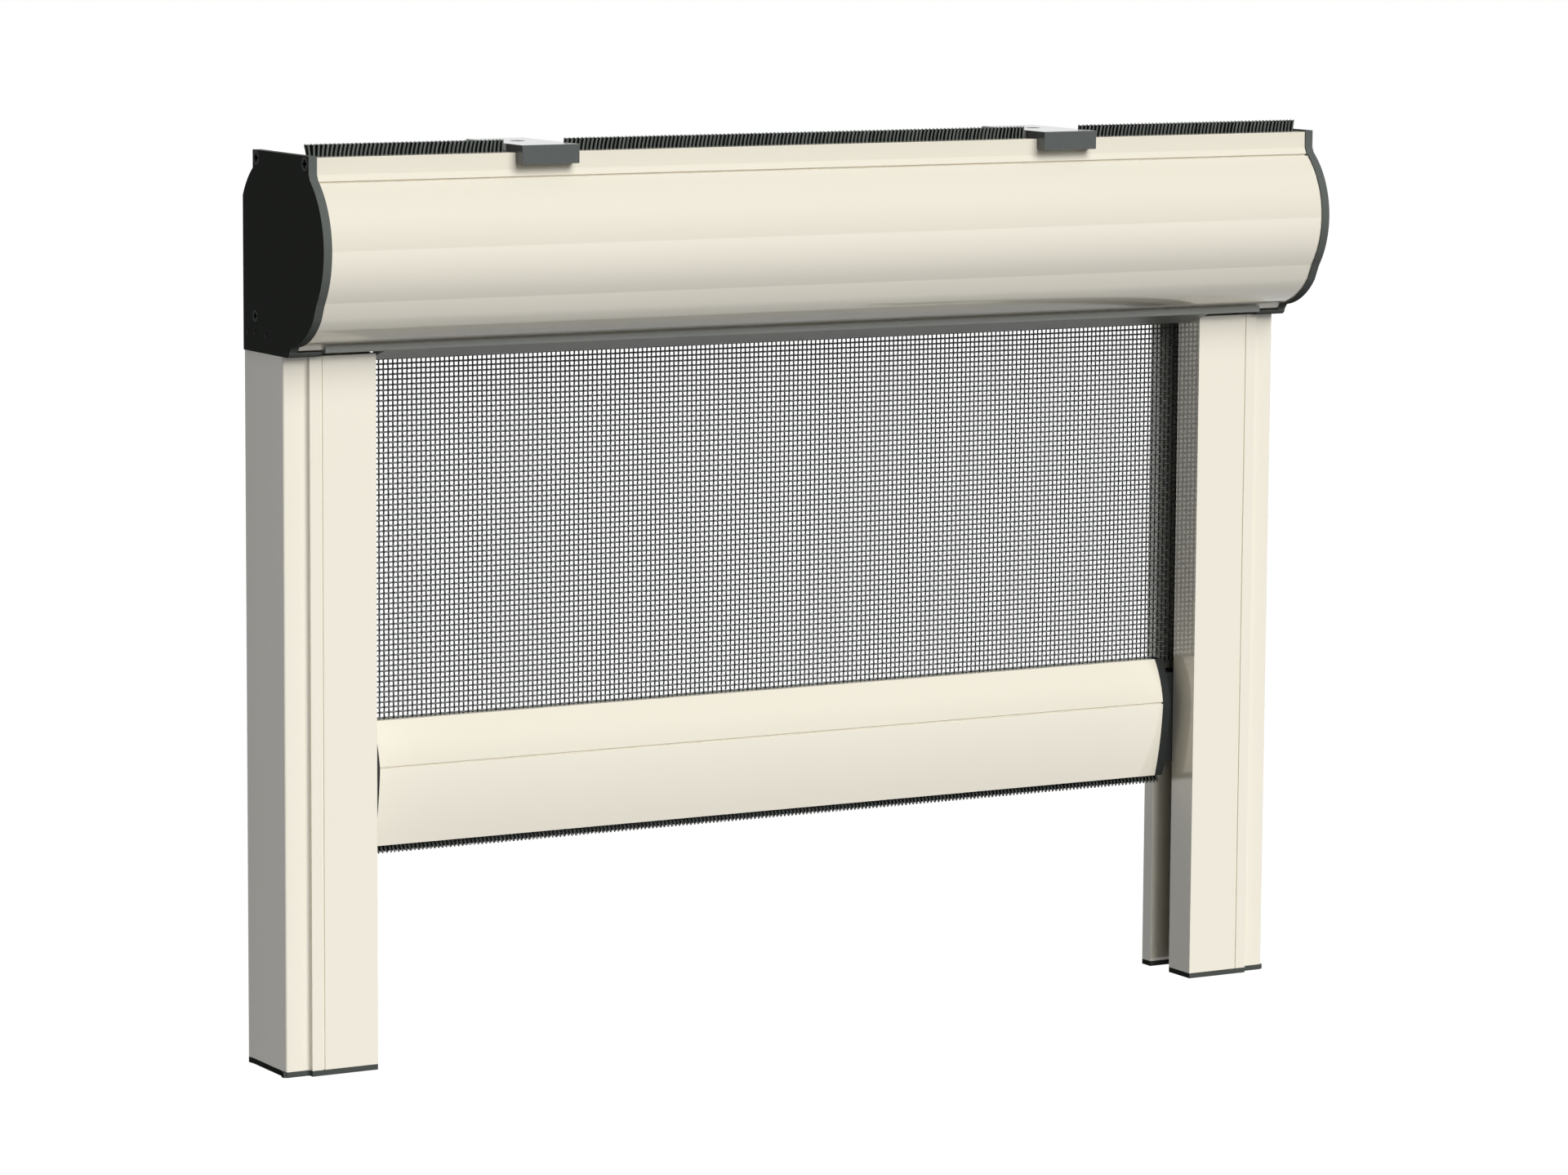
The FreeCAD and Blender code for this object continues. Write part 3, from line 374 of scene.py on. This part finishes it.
def tubes(lines, widths, thicknesses, up, sides):
    """Points and faces of closed tubes along lines, an array of (count, steps, 3).

    At each step a ring lies round the line: centre + width / 2 * cos a * side + thickness / 2 *
    sin a * rise, where side is the line's direction crossed with up and rise is side crossed with
    the direction. Widths and thicknesses are arrays of (count, steps).
    """
    count, steps = widths.shape
    direction = np.gradient(lines, axis=1)
    direction /= np.linalg.norm(direction, axis=2, keepdims=True)
    side = np.cross(direction, up)
    side /= np.linalg.norm(side, axis=2, keepdims=True)
    rise = np.cross(side, direction)
    angle = 2 * np.pi * np.arange(sides) / sides
    across = (widths / 2)[:, :, None, None] * np.cos(angle)[:, None] * side[:, :, None]
    upwards = (thicknesses / 2)[:, :, None, None] * np.sin(angle)[:, None] * rise[:, :, None]
    points = lines[:, :, None] + across + upwards
    index = np.arange(count * steps * sides).reshape(count, steps, sides)
    after = np.roll(index, -1, axis=2)
    walls = np.stack([index[:, :-1], index[:, 1:], after[:, 1:], after[:, :-1]], axis=-1)
    starts = index[:, 0]
    ends = index[:, -1, ::-1]
    return points.reshape(-1, 3), [walls.reshape(-1, 4), starts, ends]


def finished_copy(node, edge, material=None):
    """A rigid node's own shape, its triangles joined to whole faces and its edges broken."""
    source = frame["nodes"][node]
    shape = bmesh.new()
    shape.from_mesh(source.data)
    bmesh.ops.remove_doubles(shape, verts=shape.verts, dist=weld_distance)
    bmesh.ops.dissolve_limit(shape, angle_limit=flat_angle, verts=shape.verts, edges=shape.edges)
    for face in shape.faces:
        face.smooth = True
    for line in shape.edges:
        line.smooth = line.is_manifold and line.calc_face_angle(0) < crease_angle
    mesh = bpy.data.meshes.new(node + "_finished")
    shape.to_mesh(mesh)
    shape.free()
    if "custom_normal" in mesh.attributes:
        mesh.attributes.remove(mesh.attributes["custom_normal"])
    piece = new_piece(node + "_finished", mesh, source["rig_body"], slots[node], [node], material)
    bevel = piece.modifiers.new("edges", "BEVEL")
    bevel.width = edge
    bevel.segments = edge_steps
    bevel.limit_method = "ANGLE"
    bevel.angle_limit = edge_angle
    bevel.harden_normals = True
    return piece


def lip_strip():
    """The strip on the box's lip: a hook round the lip and, between the guides, a slanting face.

    Each stretch is a section carried along X. The outer ones have the hook alone. The middle
    one's face comes down over the lip, turns by a small round and slants back to the foot of the
    skirt. All lengths here are in millimetres.
    """
    low, high = (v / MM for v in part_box("lip_trim"))
    guide_low, guide_high = (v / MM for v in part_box("guide_rail_right"))
    wall = 0.8
    apart = 0.01
    beside_guide, above_guide = 0.3, 1.7
    half = guide_low.x - beside_guide
    shelf_top = guide_high.z + above_guide
    foot_y = 5.4
    nose_radius, nose_drop = 0.6, 0.15
    nose_turn, nose_points = 70, 8
    lip_y = low.y + 0.62
    hook_y, hook_top = low.y + 0.1, high.z - 0.3
    web_front, web_back, web_top = low.y + 3.4, low.y + 4.2, high.z - 1.5
    turn = np.radians(np.linspace(0, nose_turn, nose_points))
    nose = np.stack([low.y + nose_radius - nose_radius * np.cos(turn),
                     shelf_top - nose_drop - nose_radius * np.sin(turn)], axis=1)
    skirt = [(foot_y, low.z), (foot_y, low.z + wall), (web_back, shelf_top)]
    web = [(web_back, shelf_top - wall), (web_back, web_top), (web_front, web_top),
           (web_front, shelf_top)]
    inside = [(lip_y, shelf_top), (lip_y, hook_top), (hook_y, hook_top)]
    middle = np.concatenate([nose, skirt, inside])
    outer = np.concatenate([nose, web, inside])
    points, faces = [], []
    for section, ends in ((outer, (low.x, -half - apart)), (middle, (-half, half)),
                          (outer, (half + apart, high.x))):
        count = len(section)
        start = sum(len(part) for part in points)
        points.append(np.concatenate([np.insert(section, 0, x, axis=1) for x in ends]) * MM)
        index = np.arange(count)
        after = np.roll(index, -1)
        walls = np.stack([index, after, after + count, index + count], axis=1)
        faces += [group + start for group in (walls, index[None, ::-1], index[None] + count)]
    mesh = mesh_of("lip_strip", np.concatenate(points), faces, smooth=False)
    new_piece("lip_strip", mesh, "frame", "grey_trim", ["lip_trim"])


def cut_deeper(piece, top, height, front, deeper):
    """Deepens a scribed line: the points of its floor move in.

    They are those that lie within the line's height below its top, and at its front in Y.
    """
    co = np.empty(len(piece.data.vertices) * 3, np.float32)
    piece.data.vertices.foreach_get("co", co)
    co = co.reshape(-1, 3)
    slack = 0.02 * MM
    level = (co[:, 2] < top + slack) & (co[:, 2] > top - height - slack)
    floor = level & (np.abs(co[:, 1] - front) < 2 * slack)
    co[floor, 1] += deeper
    piece.data.vertices.foreach_set("co", co.ravel())


# Net

def woven_net():
    """Warp and weft of a plain weave, flush with the bar's gland and the roll.

    A warp thread stands at x = (i + 1/2) pitch and sways in Y by +-sway from crossing to
    crossing, with the sign (-1)^(i + j) at crossing j; a weft thread has the opposite sign, so
    each goes over and under.
    """
    width = net_high.x - net_low.x
    height = net_high.z - net_low.z
    columns = int(width / net_pitch)
    rows = int(height / net_pitch)
    x = net_low.x + (width - (columns - 1) * net_pitch) / 2 + net_pitch * np.arange(columns)
    z = net_low.z + (height - (rows - 1) * net_pitch) / 2 + net_pitch * np.arange(rows)
    sign = 1 - 2 * ((np.arange(columns)[:, None] + np.arange(rows)) % 2)
    crossings = np.empty((columns, rows, 3))
    crossings[..., 0] = x[:, None]
    crossings[..., 1] = net_y
    crossings[..., 2] = z
    sway = np.zeros_like(crossings)
    sway[..., 1] = sign * yarn_sway
    # The warp takes shade zero and the weft shade one, a lighter grey that is painted light
    threads = (("net_warp", crossings + sway, 0.0),
               ("net_weft", (crossings - sway).transpose(1, 0, 2), 1.0))
    for name, lines, painted_light in threads:
        size = np.ones(lines.shape[:2])
        points, faces = tubes(lines, size * yarn_width, size * yarn_thickness, (0, 1, 0),
                              yarn_sides)
        mesh = mesh_of(name, points, faces, shade=np.full(len(points), painted_light))
        piece = new_piece(name, mesh, None, "net_yarn", ["net_sheet"])
        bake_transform(piece)


def net_roll():
    """The net's turns on the tube: a strip whose radius grows from the tube's to the roll's."""
    turns = 18
    steps_a_turn = 40
    layer = 0.2 * MM
    axis_y = (roll_low.y + roll_high.y) / 2
    axis_z = (roll_low.z + roll_high.z) / 2
    inner = (tube_high.z - tube_low.z) / 2 + layer
    outer = (roll_high.z - roll_low.z) / 2 - layer / 2
    turn = np.linspace(0, 2 * np.pi * turns, turns * steps_a_turn + 1)
    radius = inner + (outer - inner) * turn / turn[-1]
    wound = np.concatenate([[0], np.cumsum((radius[1:] + radius[:-1]) / 2 * np.diff(turn))])
    corners = [(roll_low.x, -layer / 2), (roll_low.x, layer / 2),
               (roll_high.x, layer / 2), (roll_high.x, -layer / 2)]
    points = np.empty((len(turn), 4, 3))
    for k, (x, off) in enumerate(corners):
        points[:, k, 0] = x
        points[:, k, 1] = axis_y + (radius + off) * np.cos(turn)
        points[:, k, 2] = axis_z + (radius + off) * np.sin(turn)
    index = np.arange(len(turn) * 4).reshape(len(turn), 4)
    after = np.roll(index, -1, axis=1)
    walls = np.stack([index[:-1], index[1:], after[1:], after[:-1]], axis=-1).reshape(-1, 4)
    mesh = mesh_of("net_wound", points.reshape(-1, 3), [walls, index[:1], index[-1:, ::-1]],
                   smooth=False)
    corner = np.empty(len(mesh.loops), np.int32)
    mesh.loops.foreach_get("vertex_index", corner)
    unrolled = np.stack([points[..., 0].ravel()[corner], np.repeat(wound, 4)[corner]], axis=1)
    uv = mesh.uv_layers.new(name="unrolled").data
    uv.foreach_set("uv", unrolled.astype(np.float32).ravel())
    new_piece("net_wound", mesh, "roller", "net_yarn", ["net_roll"], roll_finish)


# Brushes

def brush(node, run, pile, lean=0.0, flare=(0.0, 0.0), reach=0.0, ends=0.0, core_share=0.94):
    """A woven backing strip, the pile's core in painted shade, and ribs of bristle on both sides.

    Bristle k of tuft i starts at (i + 1/2 + a / 5) pitch along the run, with a from -1 to 1, on
    one side of the core, and bends over with its height: point(t) = root + t * pile + t^2 * bend
    * run, for t from 0 to 1. The bend is the lean and, near either end, the flare, which fades
    with the distance. The core is one band between the same curves. Reach is what the pile stands
    out past its node, and ends what it goes on past the backing at both ends. The core has that
    share of the bristles' length.
    """
    low, high = (np.array(v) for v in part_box(node))
    run, pile = np.array(run, float), np.array(pile, float)
    across = np.cross(run, pile)
    extent = high - low
    length = abs(extent @ run)
    height = abs(extent @ pile)
    width = abs(extent @ across)
    base = (low + high) / 2 - run * length / 2 - pile * height / 2
    tufts = int((length + 2 * ends) / tuft_pitch)
    step = (length + 2 * ends) / tufts
    rib_half = 0.2 * step
    pile_half = 0.2 * width
    core_width = 0.8
    uneven_tips = 0.03
    uneven_shade = 0.3
    pile_length = height + reach - backing_height
    s = (np.arange(tufts) + 0.5) * step - ends
    a = random.uniform(-1, 1, (tufts, tuft_fibres))
    b = random.uniform(core_width, 1, (tufts, tuft_fibres)) * (1 - 2 * (np.arange(tuft_fibres) % 2))
    t = np.linspace(0, 1, fibre_rings)

    def bend(place):
        near_start = np.exp(-place / flare_reach)
        near_end = np.exp(-(length - place) / flare_reach)
        return lean + flare[0] * near_start + flare[1] * near_end

    def placed(along, wide, tall):
        return base + along[..., None] * run + wide[..., None] * across + tall[..., None] * pile

    tip = pile_length * (1 - uneven_tips * random.random((tufts, tuft_fibres)))
    along = (s[:, None] + rib_half * a)[..., None] + bend(s)[:, None, None] * t ** 2
    wide = (pile_half * b)[..., None] + 0 * t
    lines = placed(along, wide, backing_height + tip[..., None] * t).reshape(-1, fibre_rings, 3)
    thickness = np.broadcast_to(2 * fibre_radius * (1 - fibre_taper * t ** 3), lines.shape[:2])
    points, faces = tubes(lines, thickness, thickness, across, fibre_sides)
    shade = 1 - uneven_shade + uneven_shade * random.random(tufts * tuft_fibres)
    shade = np.repeat(shade, fibre_rings * fibre_sides)

    corners = np.array([(0, -1), (0, 1), (1, 1), (1, -1)])
    core_along = corners[:, 0] * (length + 2 * ends - 2 * rib_half) + rib_half - ends
    core_along = core_along + bend(core_along) * t[:, None] ** 2
    core_wide = corners[:, 1] * core_width * pile_half + 0 * core_along
    core_tall = backing_height + core_share * pile_length * t[:, None] + 0 * core_along
    core = placed(core_along, core_wide, core_tall)
    strip = np.stack([placed(corners[:, 0] * length, corners[:, 1] * width / 2, np.full(4, tall))
                      for tall in (0.0, backing_height)])
    for rings in (core, strip):
        index = np.arange(rings.shape[0] * 4).reshape(-1, 4)
        after = np.roll(index, -1, axis=1)
        walls = np.stack([index[:-1], after[:-1], after[1:], index[1:]], axis=-1).reshape(-1, 4)
        shell = [walls, index[:1, ::-1], index[-1:]]
        faces += [group + len(points) for group in shell]
        points = np.concatenate([points, rings.reshape(-1, 3)])
        # Shade zero colours the core and the backing near black: painted shade for the gaps between
        # the ribs
        shade = np.concatenate([shade, np.zeros(index.size)])
    mesh = mesh_of(node + "_pile", points, faces, shade=shade)
    new_piece(node + "_pile", mesh, frame["nodes"][node]["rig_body"], "brush_pile", [node])


# Screws

def cross_screws(node, head_radius, shank_radius, recess_radius):
    """Cheese-head screws where the node's own are, with a cross recess and a threaded shank.

    Each is a profile of depth against radius, carried round the screw's axis: from the middle of
    the face out to the rim, down the head's side, in to the shank, whose radius waves by the
    thread, and to the point. On the face the depth grows by the recess's depth inside the cross,
    whose arms are the places where radius * |sin| or radius * |cos| is less than half an arm.
    """
    head_height = 0.8 * MM
    arm = 0.22 * head_radius
    slope = 0.5 * arm
    sink = 0.55 * head_radius
    rim = 0.04 * head_radius
    point_radius = 0.02 * shank_radius
    thread_pitch = 0.7 * shank_radius
    thread_depth = 0.1 * shank_radius
    face_steps, thread_steps, sides = 22, 60, 48
    same_level = 0.01 * MM
    same_screw = 3 * head_radius
    source = frame["nodes"][node]
    co = np.array([v.co for v in source.data.vertices])
    face_x = np.abs(co[:, 0]).max()
    depth_end = face_x - np.abs(co[:, 0]).min()
    heads = co[np.abs(co[:, 0]) > face_x - same_level]
    right = heads[heads[:, 0] > 0][:, 1:]
    rear = right[:, 0].max() - right[:, 0] < same_screw
    groups = [group for group in (right[rear], right[~rear]) if len(group)]
    places = [(group.min(axis=0) + group.max(axis=0)) / 2 for group in groups]
    face_r = np.linspace(0.02, 0.98, face_steps) * head_radius
    shank_d = np.linspace(head_height, depth_end - shank_radius, thread_steps)
    thread = thread_depth * np.cos(2 * np.pi * (shank_d - head_height) / thread_pitch)
    radius = np.concatenate([face_r, [head_radius, head_radius],
                             shank_radius - thread_depth + thread, [point_radius]])
    depth = np.concatenate([np.zeros(face_steps), [rim, head_height], shank_d, [depth_end]])
    angle = 2 * np.pi * np.arange(sides) / sides
    cos, sin = np.cos(angle)[:, None], np.sin(angle)[:, None]
    near = np.minimum(np.abs(cos), np.abs(sin)) * radius
    in_arms = np.clip((arm - near) / slope, 0, 1)
    in_recess = np.clip((recess_radius - radius) / slope, 0, 1)
    in_recess[face_steps:] = 0
    depth = depth + sink * in_arms * in_recess
    index = np.arange(angle.size * radius.size).reshape(angle.size, radius.size)
    after = np.roll(index, -1, axis=0)
    walls = np.stack([index[:, :-1], after[:, :-1], after[:, 1:], index[:, 1:]], axis=-1)
    walls = walls.reshape(-1, 4)
    points, faces = [], []
    for side in (-1, 1):
        for y, z in places:
            start = len(points) * index.size
            points.append(np.stack([side * (face_x - depth), y + radius * cos + 0 * depth,
                                    z + radius * sin + 0 * depth], axis=-1).reshape(-1, 3))
            faces += [walls[:, ::-side] + start, index[None, ::side, 0] + start,
                      index[None, ::-side, -1] + start]
    mesh = mesh_of(node + "_finished", np.concatenate(points), faces)
    new_piece(node + "_finished", mesh, source["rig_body"], "screw_steel", [node])


# The screen

for node_name, node in frame["nodes"].items():
    node.data.materials[0] = finishes[slots[node_name]]

for node_name in ("guide_rail_left", "guide_rail_right"):
    finished_copy(node_name, small_edge)
cut_deeper(finished_copy("bottom_bar", small_edge), top=bar_high.z - 11.95 * MM,
           height=0.5 * MM, front=bar_low.y + 0.35 * MM, deeper=0.3 * MM)
cut_deeper(finished_copy("head_box", small_edge), top=box_high.z - 6.2 * MM,
           height=0.5 * MM, front=cad_low.y + 8.63 * MM, deeper=0.5 * MM)
for kind, own_finish in (("end_cap", None), ("lead_in", None), ("guide_foot", foot_finish_painted_shade),
                         ("bar_cap", bar_cap_finish_painted_shade), ("lintel_clip", clip_finish)):
    for side in ("left", "right"):
        finished_copy(kind + "_" + side, plastic_edge, own_finish)
cross_screws("cap_screws", head_radius=2.0 * MM, shank_radius=1.2 * MM, recess_radius=1.15 * MM)
cross_screws("lead_in_screws", head_radius=1.6 * MM, shank_radius=0.9 * MM,
             recess_radius=0.95 * MM)
lip_strip()
woven_net()
net_roll()
for side, flare in (("left", (-1.6 * MM, -0.8 * MM)), ("middle", (-0.6 * MM, -0.8 * MM)),
                    ("right", (-0.6 * MM, -0.4 * MM))):
    brush("top_brush_" + side, (1, 0, 0), (0, 0, 1), lean=0.8 * MM, flare=flare)
brush("bar_brush", (1, 0, 0), (0, 0, -1), lean=0.9 * MM, reach=0.9 * MM, ends=2.5 * MM,
      core_share=0.84)
for side in ("left", "right"):
    brush("guide_brush_front_" + side, (0, 0, 1), (0, 1, 0))
    brush("guide_brush_rear_" + side, (0, 0, 1), (0, -1, 0))


# Studio

def studio_floor():
    """A plain pale floor far below the screen, which hangs by its lintel clips.

    Its glow makes it pale to the eye. Its own colour only sets how much of the lamps' light it
    throws back up on the screen.
    """
    drop = 1.5
    half = 20.0
    paleness = 0.96
    mesh = bpy.data.meshes.new("floor")
    corners = [(-1, -1), (1, -1), (1, 1), (-1, 1)]
    mesh.from_pydata([(x * half, y * half, -drop) for x, y in corners], [], [(0, 1, 2, 3)])
    floor = bpy.data.objects.new("floor", mesh)
    bpy.context.scene.collection.objects.link(floor)
    material, tree, shader = finish("pale_floor", Roughness=0.9, Specular_IOR_Level=0.0)
    shader.inputs["Base Color"].default_value = linear("#4E4E4C")
    shader.inputs["Emission Color"].default_value = (1, 1, 1, 1)
    glow = add(tree, "Math", {0: seen_directly(tree), 1: paleness}, operation="MULTIPLY")
    tree.links.new(glow.outputs["Value"], shader.inputs["Emission Strength"])
    mesh.materials.append(material)


def seen_directly(tree):
    """One for what is seen, also in a mirror or through glass, and zero for light on the object."""
    path = add(tree, "LightPath")
    total = add(tree, "Math", {0: path.outputs["Is Camera Ray"],
                               1: path.outputs["Is Glossy Ray"]}, operation="ADD")
    total = add(tree, "Math", {0: total.outputs["Value"], 1: path.outputs["Is Transmission Ray"]},
                operation="ADD", use_clamp=True)
    return total.outputs["Value"]


def studio_world():
    """A room with low even light on matt surfaces. Gloss shows it dim before and bright behind."""
    ambient = 0.01
    before, behind = 0.05, 1.4
    world = bpy.data.worlds.new("studio")
    world.use_nodes = True
    tree = world.node_tree
    background = tree.nodes["Background"]
    background.inputs["Color"].default_value = (1, 1, 1, 1)
    path = add(tree, "LightPath")
    direction = add(tree, "SeparateXYZ", {"Vector": add(tree, "TexCoord").outputs["Generated"]})
    walls = add(tree, "MapRange", {"Value": direction.outputs["Y"], "From Min": -0.2,
                                   "From Max": 0.5, "To Min": before, "To Max": behind})
    seen = add(tree, "Mix", {mix_factor: path.outputs["Is Glossy Ray"], mix_float_a: 1.0,
                             mix_float_b: walls.outputs["Result"]}, data_type="FLOAT")
    level = add(tree, "Mix", {mix_factor: seen_directly(tree), mix_float_a: ambient,
                              mix_float_b: seen.outputs[mix_float_out]}, data_type="FLOAT")
    tree.links.new(level.outputs[mix_float_out], background.inputs["Strength"])
    bpy.context.scene.world = world


def soft_light(name, azimuth, elevation, level, softness):
    """A soft distant lamp that gloss doesn't mirror, from so many degrees right of straight ahead.

    Level one is full light, and softness is the angle that the lamp takes up in the sky.
    """
    lamp = bpy.data.lights.new(name, "SUN")
    lamp.energy = level * math.pi
    lamp.angle = math.radians(softness)
    light = bpy.data.objects.new(name, lamp)
    bpy.context.scene.collection.objects.link(light)
    a, e = math.radians(azimuth), math.radians(elevation)
    towards = Vector((math.sin(a) * math.cos(e), -math.cos(a) * math.cos(e), math.sin(e)))
    light.rotation_euler = towards.to_track_quat("Z", "Y").to_euler()
    light.visible_glossy = False


def camera():
    """The photograph's own view: from the left, a little above the box."""
    lens = bpy.data.cameras.new("camera")
    lens.lens = 133.375
    lens.sensor_width = 36
    viewer = bpy.data.objects.new("camera", lens)
    bpy.context.scene.collection.objects.link(viewer)
    viewer.location = (-0.79722, -1.37953, 0.33572)
    turn = Matrix.Rotation(math.radians(-29.8361), 3, "Z")
    tilt = Matrix.Rotation(math.radians(90 - 7.6191), 3, "X")
    roll = Matrix.Rotation(math.radians(0.3720), 3, "Z")
    viewer.rotation_euler = (turn @ tilt @ roll).to_euler()
    bpy.context.scene.camera = viewer


studio_floor()
studio_world()
soft_light("key_light", azimuth=11, elevation=33, level=0.97, softness=42)
soft_light("fill_light", azimuth=-16, elevation=12, level=0.14, softness=30)
soft_light("rear_light", azimuth=155, elevation=30, level=0.85, softness=42)
camera()
bpy.context.scene.view_settings.view_transform = "Standard"
